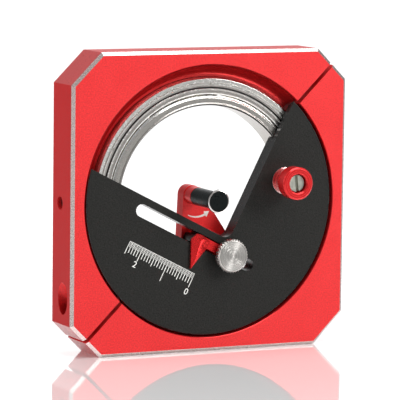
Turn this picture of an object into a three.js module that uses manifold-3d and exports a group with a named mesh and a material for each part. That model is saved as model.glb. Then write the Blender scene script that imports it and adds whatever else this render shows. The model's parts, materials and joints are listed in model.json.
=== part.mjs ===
// Stepless circle cutter for sheet material: a square two-piece housing holds a thin
// ball bearing, and a rotor in the bearing carries a blade on a sliding carriage.
// Millimetres, +Z up. The housing stands on its lower edge and its front faces -Y.
// The origin is the middle of the face it stands on.
import * as THREE from "three";
import { mergeVertices } from "three/addons/utils/BufferGeometryUtils.js";
import Module from "manifold-3d";

const wasm = await Module();
wasm.setup();

// ---- driving dimensions ----
// A depth is a distance behind the front plane of the housing; in front of it is negative.
const SIDE = 95; // height and width of the housing
const THICK = 15.3; // housing, front to back
const CORNER = 10; // leg of each corner chamfer
const EDGE = 1.0; // bevel round the front outer edge
const REAR_EDGE = 0.4; // bevel round the back outer edge
const SPLIT = 1.2; // width of the cut that parts the two housing halves

const MOUTH_R = 43.25; // mouth of the conical recess
const MOUTH_FLARE = 0.7; // how much wider the cone is a millimetre in front of it
const FLOOR_R = 39.3; // foot of the conical recess
const FLOOR_DEPTH = 5.5;
const SEAT_GAP = 0.1; // between the bearing and its seat
const REAR_LIP_R = 36.8; // lip that stops the bearing from behind
const REAR_LIP_DEPTH = 13.2;

const RACE_FRONT = 3.0; // depth of the bearing's front face
const RACE_WIDTH = 10;
const RACE_OUTER_R = 39;
const RACE_BORE_R = 30;
const RACE_CHAMFER = 0.6;
const OUTER_LAND_R = 36.2;
const INNER_LAND_R = 33.1;
const SHIELD_SEAT_R = 37.35; // step that holds each shield in the outer race
const SHIELD_SEAT_WIDTH = 1.2;
const PITCH_R = 34.5; // circle of ball centres
const BALL_R = 2.6;
const GROOVE_R = 2.75;
const BALLS = 17;
const CAGE_HALF_WALL = 0.9;
const CAGE_HALF_WIDTH = 3.1;
const POCKET_SLACK = 0.15;
const SHIELD_INNER_R = 33.45;
const SHIELD_RIM_R = 37.25;
const SHIELD_WEB_R = 35.3; // outer edge of the shield's sunken web
const SHIELD_SINK = 0.35;
const SHIELD_RIM = 0.9; // height of the raised rim
const SHIELD_SHEET = 0.4;
const SHIELD_NOTCHES = 17;
const NOTCH_WIDTH = 0.42;
const NOTCH_PHASE = 0.18; // of the first notch, in notch spacings

const ROTOR_FRONT = 0.5; // depth of the rotor's front face
const ROTOR_R = 42.4;
const DISC_BACK = 2.7;
const DISC_BACK_R = 40.8;
const SHOULDER_R = 32.2; // ring that bears on the inner race
const SHOULDER_DEPTH = 2.93;
const HUB_R = 29.9;
const HUB_BACK = 6.0;
const ROTOR_TURN = THREE.MathUtils.degToRad(27); // of the rotor in the housing

// In the rotor's own frame x runs along the slot and z across it, from the axis of rotation.
const WINDOW_X = 11.8; // right side of the quarter-round sight window
const WINDOW_Z = -8.15; // lower side of the sight window
const WINDOW_CORNER_R = 3;
const SLOT_Z = -12.45;
const SLOT_WIDTH = 4;
const SLOT_LEFT = -20; // centre of the slot's round left end
const SLOT_RIGHT = 21.4; // and of its right end

const READING = 2.6; // radius that the carriage is set to
const BLADE_X = -READING;
const ARM_FRONT = 8.8;
const ARM_BACK = 13.2;
const ARM_HEAD_R = 3.1; // round end of the arm, about the blade
const ARM_HEEL = { x: 3.1, z: -14, r: 2.5 };
const ARM_TOE = { x: 19.5, z: -11.55, r: 2.5 };
const PAD_FRONT = 6.1; // raised pad that slides on the back of the rotor
const PAD_TOP = -7.35;
const PAD_BOTTOM = -15.9;
const PAD_LEFT = 1.2;
const PAD_RIGHT = 20.4;
const BOSS_FRONT = 4.4;
const BOSS_R = 2.9;
const PIN_R = 1.85; // guide pins in the slot
const INNER_PIN_X = 2.6;
const OUTER_PIN_X = 18.8;
const PIN_FRONT = 2.0;
const HOLE_FLOOR = 11.5; // of the holes for the pins and the stud

const STUD_X = 13.6;
const STUD_R = 1.45;
const STUD_FRONT = -2.4;
const POINTER_BACK = 0.4; // underside of the pointer, just clear of the rotor
const POINTER_TOP = -1.9;
const BAR_TOP = -0.5; // top of the bar that the nut presses on
const BAR_HALF = 1.5;
const POINTER_TIP = { x: 3.4, z: -21.8 };
const WASHER_R = 3.6;
const WASHER_THICK = 0.4;
const NUT_R = 5.35;
const NUT_BACK = -1.05;
const NUT_FRONT = -3.4;
const NUT_TEETH = 36;

const BARREL_R = 2.85;
const BARREL_FRONT = -8.3;
const BARREL_FOOT = 4.3;
const SPIGOT_R = 1.9;
const SPIGOT_BACK = 13.0;
const BARREL_BORE_R = 1.55;
const SPRING_SEAT = 11.5;
const GUIDE_HOLE_R = 1.15;
const CAP_R = 3.75;
const CAP_FRONT = -10.6;
const CAP_BACK = -9.5;
const STEM_R = 0.85;
const COLLAR_R = 1.4;
const COLLAR_FRONT = 2.6;
const COLLAR_BACK = 3.6;
const BLADE_TIP = 15.0;
const BLADE_TOP = 9.0;
const BLADE_THICK = 0.45;
const BLADE_HALF = 0.8;
const SPRING_WIRE_R = 0.17;
const SPRING_COIL_R = 1.25;
const SPRING_TURNS = 6;

const CRANK_X = 20.4;
const CRANK_Z = 16.75;
const CRANK_FRONT = -10.0;
const CRANK_R = 5.2; // of the flange at the front
const CRANK_FLANGE = 4.2; // height of the flange
const CRANK_NECK_R = 3.6;
const CRANK_FOOT = -0.2; // underside of the post, on its washer
const CRANK_WASHER_R = 4.25;
const CRANK_SCREW_R = 1.6;
const CRANK_SCREW_END = 5.6;
const CRANK_HEAD_R = 2.6;
const CRANK_HEAD_SINK = 1.4; // of the screw's head below the flange
const CRANK_RECESS_R = 2.95;
const CRANK_RECESS_DEPTH = 3.0;
const DRIVER_SLOT = 1.0; // width and depth of the screw's slot
const DRIVER_SLOT_TURN = -0.6; // radians

const CLAMP_DEPTH = 6.6; // of the two screws that close the halves on the bearing
const CLAMP_Z = -29.2;
const CLAMP_HEAD_R = 3.1;
const CLAMP_HEAD = 3.3; // height of the screw head
const CLAMP_SOCKET_R = 1.75; // hexagon socket, across corners
const CLAMP_SHANK_R = 1.95;
const COUNTERBORE_R = 3.6;
const CLAMP_END = 20.5; // of the shank, from the middle of the hole's mouth
const HEAD_SINK = 5; // of the screw head's top below the middle of the hole's mouth
const LOCK_DEPTH = 9.3; // of the set screw that bears on the outer race
const LOCK_Z = 0.3;
const LOCK_R = 2.0;
const LOCK_TOP = 1.2; // both ends of the set screw, measured in from the left side
const LOCK_POINT = 8.2;
const LOCK_SOCKET_R = 1.15;

const ROUND_LARGE = 48; // sides of a large circle
const ROUND_MEDIUM = 24;
const ROUND_SMALL = 16;
const SLACK = 0.1; // between a pin and its hole
const FAR = 60; // past every face

// ---- materials ----
function finish(color, roughness, metalness) {
  return new THREE.MeshStandardMaterial({ color, roughness, metalness });
}

const RED = finish(0xd8262b, 0.4, 0.6);
const BLACK = finish(0x2c2c2b, 0.65, 0.3);
const GLOSS_BLACK = finish(0x1b2023, 0.35, 0.5);
const STEEL = finish(0xc9c9c6, 0.25, 1);
const BRIGHT = finish(0xe2e0da, 0.15, 1);
const DARK_STEEL = finish(0x3a3b3c, 0.4, 0.9);
const BRASS = finish(0xb98f4b, 0.3, 1);

// ---- solids ----
function solidOf(geometry) {
  const bare = geometry.clone();
  bare.deleteAttribute("normal");
  bare.deleteAttribute("uv");
  const merged = mergeVertices(bare, 1e-3);
  const vertProperties = merged.attributes.position.array;
  const triVerts = new Uint32Array(merged.index.array);
  return new wasm.Manifold(new wasm.Mesh({ numProp: 3, vertProperties, triVerts }));
}

function geometryOf(solid) {
  const mesh = solid.getMesh();
  const geometry = new THREE.BufferGeometry();
  const position = new THREE.BufferAttribute(new Float32Array(mesh.vertProperties), 3);
  geometry.setAttribute("position", position);
  geometry.setIndex(new THREE.BufferAttribute(new Uint32Array(mesh.triVerts), 1));
  geometry.computeVertexNormals();
  return geometry;
}

function cut(geometry, ...tools) {
  return geometryOf(tools.reduce((left, tool) => left.subtract(solidOf(tool)), solidOf(geometry)));
}

function join(geometry, ...others) {
  return geometryOf(others.reduce((left, other) => left.add(solidOf(other)), solidOf(geometry)));
}

// A solid of revolution about the depth axis from [radius, depth] points. The outline
// either starts and ends on the axis or is a closed ring.
function turned(points, sides) {
  const area = points.reduce((sum, [r, d], i) => {
    const [nextR, nextD] = points[(i + 1) % points.length];
    return sum + r * nextD - nextR * d;
  }, 0);
  const outline = points.map(([r, d]) => new THREE.Vector2(r, d));
  if (points[0][0] > 0) outline.push(outline[0].clone());
  if (area < 0) outline.reverse();
  return new THREE.LatheGeometry(outline, sides);
}

// A rod about the depth axis, with an optional chamfer at each end.
function rod(radius, front, back, sides, chamfer = 0) {
  if (!chamfer) return turned([[0, front], [radius, front], [radius, back], [0, back]], sides);
  return turned(
    [
      [0, front],
      [radius - chamfer, front],
      [radius, front + chamfer],
      [radius, back - chamfer],
      [radius - chamfer, back],
      [0, back],
    ],
    sides,
  );
}

// A flat outline in x and z, made solid between two depths.
function prism(shape, front, back, curveSegments = 8) {
  const options = { depth: back - front, bevelEnabled: false, curveSegments };
  const geometry = new THREE.ExtrudeGeometry(shape, options);
  return geometry.rotateX(Math.PI / 2).translate(0, back, 0);
}

function outline(points) {
  return new THREE.Shape(points.map(([x, z]) => new THREE.Vector2(x, z)));
}

function at(geometry, x, z) {
  return geometry.translate(x, 0, z);
}

function piece(name, geometry, material) {
  const mesh = new THREE.Mesh(geometry, material);
  mesh.name = name;
  return mesh;
}

// The outline round a row of circles, each tangent to the next, taken counterclockwise.
function beltRound(circles) {
  const shape = new THREE.Shape();
  const heading = circles.map((c, i) => {
    const next = circles[(i + 1) % circles.length];
    const along = Math.atan2(next.z - c.z, next.x - c.x);
    const span = Math.hypot(next.x - c.x, next.z - c.z);
    return along - Math.PI / 2 - Math.asin((next.r - c.r) / span);
  });
  circles.forEach((c, i) => {
    const from = heading[(i + circles.length - 1) % circles.length];
    shape.absarc(c.x, c.z, c.r, from, heading[i], false);
  });
  return shape;
}

// ---- housing ----
function octagon(inset) {
  const half = SIDE / 2 - inset;
  const flat = SIDE / 2 - CORNER - inset * Math.tan(Math.PI / 8);
  return [
    [flat, -half],
    [half, -flat],
    [half, flat],
    [flat, half],
    [-flat, half],
    [-half, flat],
    [-half, -flat],
    [-flat, -half],
  ];
}

// A closed skin over octagons of different inset, from front to back.
function housingBlock() {
  const rings = [
    [EDGE, 0],
    [0, EDGE],
    [0, THICK - REAR_EDGE],
    [REAR_EDGE, THICK],
  ];
  const corners = 8;
  const position = [];
  const index = [];
  for (const [inset, depth] of rings) {
    for (const [x, z] of octagon(inset)) position.push(x, depth, z);
  }
  for (let ring = 0; ring < rings.length - 1; ring += 1) {
    for (let i = 0; i < corners; i += 1) {
      const a = ring * corners + i;
      const b = ring * corners + ((i + 1) % corners);
      index.push(a, b + corners, b, a, a + corners, b + corners);
    }
  }
  const last = (rings.length - 1) * corners;
  for (let i = 1; i < corners - 1; i += 1) {
    index.push(0, i, i + 1);
    index.push(last, last + i + 1, last + i);
  }
  const geometry = new THREE.BufferGeometry();
  geometry.setAttribute("position", new THREE.Float32BufferAttribute(position, 3));
  geometry.setIndex(index);
  return geometry;
}

function boreTool() {
  const seat = RACE_OUTER_R + SEAT_GAP;
  return turned(
    [
      [0, -1],
      [MOUTH_R + MOUTH_FLARE, -1],
      [MOUTH_R, 0],
      [FLOOR_R, FLOOR_DEPTH],
      [seat, FLOOR_DEPTH],
      [seat, REAR_LIP_DEPTH],
      [REAR_LIP_R, REAR_LIP_DEPTH],
      [REAR_LIP_R, THICK + 1],
      [0, THICK + 1],
    ],
    ROUND_LARGE * 2,
  );
}

// Puts a shape made about the depth axis on a clamp screw's line: its front end outwards
// at the mouth of the hole, its back end inwards across the split.
function onClampLine(geometry) {
  const alongX = geometry.rotateZ(-Math.PI / 2);
  return alongX.rotateY(Math.PI / 4).translate(-SIDE / 2, CLAMP_DEPTH, CLAMP_Z);
}

function clampTool() {
  return onClampLine(
    turned(
      [
        [0, -12],
        [COUNTERBORE_R, -12],
        [COUNTERBORE_R, HEAD_SINK + CLAMP_HEAD + SLACK],
        [CLAMP_SHANK_R + SLACK, HEAD_SINK + CLAMP_HEAD + SLACK],
        [CLAMP_SHANK_R + SLACK, CLAMP_END + 0.5],
        [0, CLAMP_END + 0.5],
      ],
      ROUND_MEDIUM,
    ),
  );
}

// A tool for a hexagon socket that ends in a drill point.
function hexSocket(radius, top, depth) {
  return turned([[0, top - 1], [radius, top - 1], [radius, top + depth], [0, top + depth + 0.6]], 6);
}

function clampScrew() {
  const top = HEAD_SINK;
  const body = turned(
    [
      [0, top],
      [CLAMP_HEAD_R - 0.3, top],
      [CLAMP_HEAD_R, top + 0.3],
      [CLAMP_HEAD_R, top + CLAMP_HEAD],
      [CLAMP_SHANK_R, top + CLAMP_HEAD],
      [CLAMP_SHANK_R, CLAMP_END - 0.4],
      [CLAMP_SHANK_R - 0.4, CLAMP_END],
      [0, CLAMP_END],
    ],
    ROUND_MEDIUM,
  );
  return onClampLine(cut(body, hexSocket(CLAMP_SOCKET_R, top, 2)));
}

function lockTool() {
  const hole = rod(LOCK_R + SLACK, -6, 12, ROUND_MEDIUM);
  return hole.rotateZ(-Math.PI / 2).translate(-SIDE / 2, LOCK_DEPTH, LOCK_Z);
}

// Set screw in the left side, its tip just clear of the bearing's outer race.
function lockScrew() {
  const body = turned(
    [
      [0, LOCK_TOP],
      [LOCK_R - 0.25, LOCK_TOP],
      [LOCK_R, LOCK_TOP + 0.25],
      [LOCK_R, LOCK_POINT - 1],
      [LOCK_R - 0.9, LOCK_POINT],
      [0, LOCK_POINT],
    ],
    ROUND_SMALL,
  );
  const screw = cut(body, hexSocket(LOCK_SOCKET_R, LOCK_TOP, 2.2));
  return screw.rotateZ(-Math.PI / 2).translate(-SIDE / 2, LOCK_DEPTH, LOCK_Z);
}

// Half of all space on one side of the diagonal split.
function besideSplit(side) {
  const reach = 2 * SIDE;
  const shift = (reach - SPLIT) / 2;
  const block = new THREE.BoxGeometry(reach, 4 * THICK, reach);
  return block.translate(side * shift, 0, 0).rotateY(Math.PI / 4);
}

function housingHalves() {
  const turn = new THREE.Matrix4().makeRotationY(Math.PI);
  const otherClamp = clampTool().applyMatrix4(turn);
  const whole = cut(housingBlock(), boreTool(), clampTool(), otherClamp, lockTool());
  return [
    piece("housing_upper_half", cut(whole, besideSplit(1)), RED),
    piece("housing_lower_half", cut(whole, besideSplit(-1)), RED),
  ];
}

function clampScrews() {
  const turn = new THREE.Matrix4().makeRotationY(Math.PI);
  return [
    piece("clamp_screw_lower", clampScrew(), DARK_STEEL),
    piece("clamp_screw_upper", clampScrew().applyMatrix4(turn), DARK_STEEL),
    piece("bearing_lock_screw", lockScrew(), DARK_STEEL),
  ];
}

// ---- bearing ----
function grooveArc(landRadius, outward) {
  const middle = RACE_FRONT + RACE_WIDTH / 2;
  const half = Math.acos((outward * (landRadius - PITCH_R)) / GROOVE_R);
  const steps = 3;
  return Array.from({ length: steps + 1 }, (_, i) => {
    const angle = -half + (2 * half * i) / steps;
    return [PITCH_R + outward * GROOVE_R * Math.cos(angle), middle + GROOVE_R * Math.sin(angle)];
  });
}

function outerRace() {
  const back = RACE_FRONT + RACE_WIDTH;
  const step = SHIELD_SEAT_WIDTH;
  const profile = [
    [SHIELD_SEAT_R, RACE_FRONT],
    [RACE_OUTER_R - RACE_CHAMFER, RACE_FRONT],
    [RACE_OUTER_R, RACE_FRONT + RACE_CHAMFER],
    [RACE_OUTER_R, back - RACE_CHAMFER],
    [RACE_OUTER_R - RACE_CHAMFER, back],
    [SHIELD_SEAT_R, back],
    [SHIELD_SEAT_R, back - step],
    [OUTER_LAND_R, back - step],
    ...grooveArc(OUTER_LAND_R, 1).reverse(),
    [OUTER_LAND_R, RACE_FRONT + step],
    [SHIELD_SEAT_R, RACE_FRONT + step],
  ];
  return piece("bearing_outer_race", turned(profile, ROUND_LARGE), STEEL);
}

function innerRace() {
  const back = RACE_FRONT + RACE_WIDTH;
  const profile = [
    [RACE_BORE_R + RACE_CHAMFER, RACE_FRONT],
    [INNER_LAND_R, RACE_FRONT],
    ...grooveArc(INNER_LAND_R, -1),
    [INNER_LAND_R, back],
    [RACE_BORE_R + RACE_CHAMFER, back],
    [RACE_BORE_R, back - RACE_CHAMFER],
    [RACE_BORE_R, RACE_FRONT + RACE_CHAMFER],
  ];
  return piece("bearing_inner_race", turned(profile, ROUND_LARGE), STEEL);
}

// Ring between the races with a round pocket for each ball.
function cage() {
  const middle = RACE_FRONT + RACE_WIDTH / 2;
  const ring = turned(
    [
      [PITCH_R - CAGE_HALF_WALL, middle - CAGE_HALF_WIDTH],
      [PITCH_R + CAGE_HALF_WALL, middle - CAGE_HALF_WIDTH],
      [PITCH_R + CAGE_HALF_WALL, middle + CAGE_HALF_WIDTH],
      [PITCH_R - CAGE_HALF_WALL, middle + CAGE_HALF_WIDTH],
    ],
    ROUND_LARGE,
  );
  const pocketR = BALL_R + POCKET_SLACK;
  const pocket = new THREE.CylinderGeometry(pocketR, pocketR, 2 * CAGE_HALF_WIDTH, 12);
  pocket.rotateZ(Math.PI / 2).translate(PITCH_R, middle, 0);
  const pockets = Array.from({ length: BALLS }, (_, i) => {
    return pocket.clone().rotateY((2 * Math.PI * i) / BALLS);
  });
  return piece("bearing_cage", cut(ring, ...pockets), BRASS);
}

function balls() {
  const middle = RACE_FRONT + RACE_WIDTH / 2;
  return Array.from({ length: BALLS }, (_, i) => {
    const angle = (2 * Math.PI * i) / BALLS;
    const ball = piece(
      "bearing_ball_" + String(i + 1).padStart(2, "0"),
      new THREE.IcosahedronGeometry(BALL_R, 1),
      BRIGHT,
    );
    ball.position.set(PITCH_R * Math.cos(angle), middle, -PITCH_R * Math.sin(angle));
    return ball;
  });
}

// Pressed sheet ring: a raised rim, notched where it is crimped, and a flat web.
function shield(name, outward) {
  const face = outward < 0 ? RACE_FRONT + 0.1 : RACE_FRONT + RACE_WIDTH - 0.1;
  const depth = (distance) => face - outward * distance;
  const profile = [
    [SHIELD_INNER_R, depth(SHIELD_SINK)],
    [SHIELD_WEB_R, depth(SHIELD_SINK)],
    [SHIELD_WEB_R + 0.6, depth(0)],
    [SHIELD_RIM_R, depth(0)],
    [SHIELD_RIM_R, depth(SHIELD_RIM)],
    [SHIELD_WEB_R + SHIELD_SHEET, depth(SHIELD_RIM)],
    [SHIELD_WEB_R, depth(SHIELD_SINK + SHIELD_SHEET)],
    [SHIELD_INNER_R, depth(SHIELD_SINK + SHIELD_SHEET)],
  ];
  const notch = new THREE.BoxGeometry(1.2, 1.2, NOTCH_WIDTH);
  notch.translate(SHIELD_RIM_R - 0.2, face, 0);
  const notches = Array.from({ length: SHIELD_NOTCHES }, (_, i) => {
    return notch.clone().rotateY(-(2 * Math.PI * (i + NOTCH_PHASE)) / SHIELD_NOTCHES);
  });
  return piece(name, cut(turned(profile, ROUND_LARGE), ...notches), STEEL);
}

// ---- rotor ----
function windowShape() {
  const shape = new THREE.Shape();
  shape.moveTo(-FAR, WINDOW_Z);
  shape.lineTo(WINDOW_X - WINDOW_CORNER_R, WINDOW_Z);
  const cornerX = WINDOW_X - WINDOW_CORNER_R;
  const cornerZ = WINDOW_Z + WINDOW_CORNER_R;
  shape.absarc(cornerX, cornerZ, WINDOW_CORNER_R, -Math.PI / 2, 0, false);
  shape.lineTo(WINDOW_X, FAR);
  shape.lineTo(-FAR, FAR);
  return shape;
}

function slotShape(halfWidth) {
  const shape = new THREE.Shape();
  shape.absarc(SLOT_LEFT, SLOT_Z, halfWidth, Math.PI / 2, (3 * Math.PI) / 2, false);
  shape.absarc(SLOT_RIGHT, SLOT_Z, halfWidth, -Math.PI / 2, Math.PI / 2, false);
  return shape;
}

function rotorPlate() {
  const blank = turned(
    [
      [0, ROTOR_FRONT],
      [ROTOR_R - 0.3, ROTOR_FRONT],
      [ROTOR_R, ROTOR_FRONT + 0.25],
      [DISC_BACK_R, DISC_BACK],
      [SHOULDER_R, DISC_BACK],
      [SHOULDER_R, SHOULDER_DEPTH],
      [HUB_R, SHOULDER_DEPTH],
      [HUB_R, HUB_BACK],
      [0, HUB_BACK],
    ],
    ROUND_LARGE,
  );
  const sightWindow = prism(windowShape(), -1, HUB_BACK + 1);
  const slot = prism(slotShape(SLOT_WIDTH / 2), -1, HUB_BACK + 1);
  const screwHole = at(rod(CRANK_SCREW_R + SLACK, -1, HUB_BACK + 1, ROUND_SMALL), CRANK_X, CRANK_Z);
  return piece("rotor_plate", cut(blank, sightWindow, slot, screwHole), BLACK);
}

function crankPost() {
  const hole = CRANK_SCREW_R + SLACK;
  const recessFloor = CRANK_FRONT + CRANK_RECESS_DEPTH;
  const flangeBack = CRANK_FRONT + CRANK_FLANGE;
  const profile = [
    [hole, CRANK_FOOT],
    [CRANK_NECK_R, CRANK_FOOT],
    [CRANK_NECK_R + 0.1, CRANK_FOOT - 1.2],
    [CRANK_NECK_R + 0.6, flangeBack + 2.2],
    [CRANK_R - 0.4, flangeBack + 0.6],
    [CRANK_R, flangeBack],
    [CRANK_R, CRANK_FRONT + 0.5],
    [CRANK_R - 0.5, CRANK_FRONT],
    [CRANK_RECESS_R + 0.35, CRANK_FRONT],
    [CRANK_RECESS_R, CRANK_FRONT + 0.35],
    [CRANK_RECESS_R, recessFloor],
    [hole, recessFloor],
  ];
  return piece("crank_post", at(turned(profile, ROUND_MEDIUM), CRANK_X, CRANK_Z), RED);
}

function crankScrew() {
  const seat = CRANK_FRONT + CRANK_RECESS_DEPTH - SLACK;
  const top = CRANK_FRONT + CRANK_HEAD_SINK;
  const body = turned(
    [
      [0, top],
      [CRANK_HEAD_R - 0.25, top],
      [CRANK_HEAD_R, top + 0.25],
      [CRANK_HEAD_R, seat],
      [CRANK_SCREW_R, seat],
      [CRANK_SCREW_R, CRANK_SCREW_END],
      [0, CRANK_SCREW_END],
    ],
    ROUND_MEDIUM,
  );
  const slot = new THREE.BoxGeometry(DRIVER_SLOT, 2 * DRIVER_SLOT, 3 * CRANK_HEAD_R);
  slot.rotateY(DRIVER_SLOT_TURN).translate(0, top, 0);
  return piece("crank_screw", at(cut(body, slot), CRANK_X, CRANK_Z), STEEL);
}

function crankWasher() {
  const profile = [
    [CRANK_SCREW_R + SLACK, CRANK_FOOT + SLACK],
    [CRANK_WASHER_R, CRANK_FOOT + SLACK],
    [CRANK_WASHER_R, ROTOR_FRONT - SLACK],
    [CRANK_SCREW_R + SLACK, ROTOR_FRONT - SLACK],
  ];
  return piece("crank_washer", at(turned(profile, ROUND_MEDIUM), CRANK_X, CRANK_Z), BRIGHT);
}

// ---- carriage ----
function carriageArm() {
  const head = { x: BLADE_X, z: 0, r: ARM_HEAD_R };
  const arm = prism(beltRound([head, ARM_HEEL, ARM_TOE]), ARM_FRONT, ARM_BACK);
  const padShape = outline([
    [PAD_LEFT, PAD_BOTTOM],
    [PAD_RIGHT, PAD_BOTTOM],
    [PAD_RIGHT, PAD_TOP - 2],
    [PAD_RIGHT - 6, PAD_TOP],
    [PAD_LEFT, PAD_TOP],
  ]);
  const pad = prism(padShape, PAD_FRONT, ARM_FRONT + 1);
  const boss = at(rod(BOSS_R, BOSS_FRONT, ARM_FRONT + 1, ROUND_MEDIUM), BLADE_X, 0);
  const holes = [
    at(rod(SPIGOT_R + SLACK, 0, 20, ROUND_MEDIUM), BLADE_X, 0),
    ...[INNER_PIN_X, OUTER_PIN_X].map((x) => at(rod(PIN_R + SLACK, 0, HOLE_FLOOR, ROUND_SMALL), x, SLOT_Z)),
    at(rod(STUD_R + SLACK, 0, HOLE_FLOOR, ROUND_SMALL), STUD_X, SLOT_Z),
  ];
  return piece("blade_carriage", cut(join(arm, pad, boss), ...holes), RED);
}

function guidePin(name, x) {
  const pin = rod(PIN_R, PIN_FRONT, HOLE_FLOOR - SLACK, ROUND_SMALL, 0.2);
  return piece(name, at(pin, x, SLOT_Z), DARK_STEEL);
}

function clampStud() {
  const stud = rod(STUD_R, STUD_FRONT, HOLE_FLOOR - SLACK, ROUND_SMALL, 0.25);
  return piece("clamp_stud", at(stud, STUD_X, SLOT_Z), STEEL);
}

// Faceted spearhead that reads against the scale, with a bar to the stud.
function pointer() {
  const base = [
    [-0.7, -13.4],
    [POINTER_TIP.x, POINTER_TIP.z],
    [5.7, -12.8],
    [5.2, -11.1],
    [2.2, -10.7],
    [0.4, -11.0],
  ];
  const ridge = [1.6, POINTER_TOP, -12.5];
  const skirt = -0.5; // depth at which the facets start
  const position = [];
  const index = [];
  for (const [x, z] of base) position.push(x, POINTER_BACK, z);
  for (const [x, z] of base) position.push(x, skirt, z);
  position.push(...ridge);
  const count = base.length;
  for (let i = 0; i < count; i += 1) {
    const next = (i + 1) % count;
    index.push(i, next, next + count, i, next + count, i + count);
    index.push(i + count, next + count, 2 * count);
  }
  for (let i = 1; i < count - 1; i += 1) index.push(0, i + 1, i);
  const spear = new THREE.BufferGeometry();
  spear.setAttribute("position", new THREE.Float32BufferAttribute(position, 3));
  spear.setIndex(index);
  const bar = prism(
    outline([
      [2, SLOT_Z - BAR_HALF],
      [STUD_X, SLOT_Z - BAR_HALF],
      [STUD_X, SLOT_Z + BAR_HALF],
      [2, SLOT_Z + BAR_HALF],
    ]),
    BAR_TOP,
    POINTER_BACK,
  );
  const eye = at(rod(WASHER_R - 0.6, BAR_TOP, POINTER_BACK, ROUND_MEDIUM), STUD_X, SLOT_Z);
  const hole = at(rod(STUD_R + SLACK, -5, 5, ROUND_SMALL), STUD_X, SLOT_Z);
  return piece("scale_pointer", cut(join(spear, bar, eye), hole), RED);
}

function nutWasher() {
  const back = BAR_TOP - 0.08;
  const profile = [
    [STUD_R + SLACK, back - WASHER_THICK],
    [WASHER_R, back - WASHER_THICK],
    [WASHER_R, back],
    [STUD_R + SLACK, back],
  ];
  return piece("nut_washer", at(turned(profile, ROUND_MEDIUM), STUD_X, SLOT_Z), STEEL);
}

function thumbNut() {
  const rim = new THREE.Shape();
  const steps = 2 * NUT_TEETH;
  for (let i = 0; i < steps; i += 1) {
    const radius = NUT_R - (i % 2) * 0.28;
    const angle = (Math.PI * i) / NUT_TEETH;
    const draw = i ? "lineTo" : "moveTo";
    rim[draw](radius * Math.cos(angle), radius * Math.sin(angle));
  }
  const knurled = solidOf(prism(rim, NUT_FRONT, NUT_BACK));
  const envelope = solidOf(rod(NUT_R + 0.05, NUT_FRONT, NUT_BACK, ROUND_MEDIUM, 0.5));
  const hole = solidOf(rod(STUD_R + SLACK, NUT_FRONT + 0.7, NUT_BACK + 1, ROUND_SMALL));
  const body = geometryOf(knurled.intersect(envelope).subtract(hole));
  return piece("thumb_nut", at(body, STUD_X, SLOT_Z), BRIGHT);
}

// ---- blade holder ----
function bladeBarrel() {
  const profile = [
    [BARREL_BORE_R, BARREL_FRONT],
    [BARREL_R - 0.25, BARREL_FRONT],
    [BARREL_R, BARREL_FRONT + 0.25],
    [BARREL_R, BARREL_FOOT],
    [SPIGOT_R, BARREL_FOOT],
    [SPIGOT_R, SPIGOT_BACK],
    [GUIDE_HOLE_R, SPIGOT_BACK],
    [GUIDE_HOLE_R, SPRING_SEAT],
    [BARREL_BORE_R, SPRING_SEAT],
  ];
  return piece("blade_barrel", at(turned(profile, ROUND_MEDIUM), BLADE_X, 0), GLOSS_BLACK);
}

function pressCap() {
  const profile = [
    [0, CAP_FRONT],
    [CAP_R - 0.6, CAP_FRONT],
    [CAP_R - 0.15, CAP_FRONT + 0.25],
    [CAP_R, CAP_FRONT + 0.6],
    [CAP_R - 0.2, CAP_BACK - 0.15],
    [CAP_R - 0.6, CAP_BACK],
    [STEM_R + 0.05, CAP_BACK],
    [STEM_R + 0.05, CAP_BACK - 0.7],
    [0, CAP_BACK - 0.7],
  ];
  return piece("press_cap", at(turned(profile, ROUND_MEDIUM), BLADE_X, 0), GLOSS_BLACK);
}

function plungerStem() {
  const body = turned(
    [
      [0, CAP_BACK - 0.65],
      [STEM_R, CAP_BACK - 0.65],
      [STEM_R, COLLAR_FRONT],
      [COLLAR_R, COLLAR_FRONT],
      [COLLAR_R, COLLAR_BACK],
      [STEM_R, COLLAR_BACK],
      [STEM_R, 12.6],
      [0, 12.6],
    ],
    ROUND_SMALL,
  );
  const cleft = new THREE.BoxGeometry(4, 5, BLADE_THICK + 0.12);
  return piece("plunger_stem", at(cut(body, cleft.translate(0, BLADE_TOP + 2.4, 0)), BLADE_X, 0), STEEL);
}

// Flat blade in the stem's cleft, ground to a slanting point.
function blade() {
  const side = new THREE.Shape();
  side.moveTo(-BLADE_HALF, BLADE_TOP);
  side.lineTo(BLADE_HALF, BLADE_TOP);
  side.lineTo(BLADE_HALF, BLADE_TIP - 2.2);
  side.lineTo(-BLADE_HALF * 0.6, BLADE_TIP);
  side.lineTo(-BLADE_HALF, BLADE_TIP - 0.5);
  const options = { depth: BLADE_THICK, bevelEnabled: false };
  const geometry = new THREE.ExtrudeGeometry(side, options).translate(0, 0, -BLADE_THICK / 2);
  return piece("cutting_blade", at(geometry, BLADE_X, 0), BRIGHT);
}

class SpringLine extends THREE.Curve {
  getPoint(t, target = new THREE.Vector3()) {
    const from = COLLAR_BACK + SPRING_WIRE_R + 0.05;
    const to = SPRING_SEAT - SPRING_WIRE_R - 0.05;
    const angle = 2 * Math.PI * SPRING_TURNS * t;
    const x = SPRING_COIL_R * Math.cos(angle);
    const z = SPRING_COIL_R * Math.sin(angle);
    return target.set(x, from + (to - from) * t, z);
  }
}

function returnSpring() {
  const section = new THREE.Shape();
  section.absarc(0, 0, SPRING_WIRE_R, 0, 2 * Math.PI, false);
  const options = {
    steps: SPRING_TURNS * 10,
    curveSegments: 3,
    extrudePath: new SpringLine(),
    bevelEnabled: false,
  };
  const geometry = new THREE.ExtrudeGeometry(section, options);
  return piece("return_spring", at(geometry, BLADE_X, 0), STEEL);
}

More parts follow.
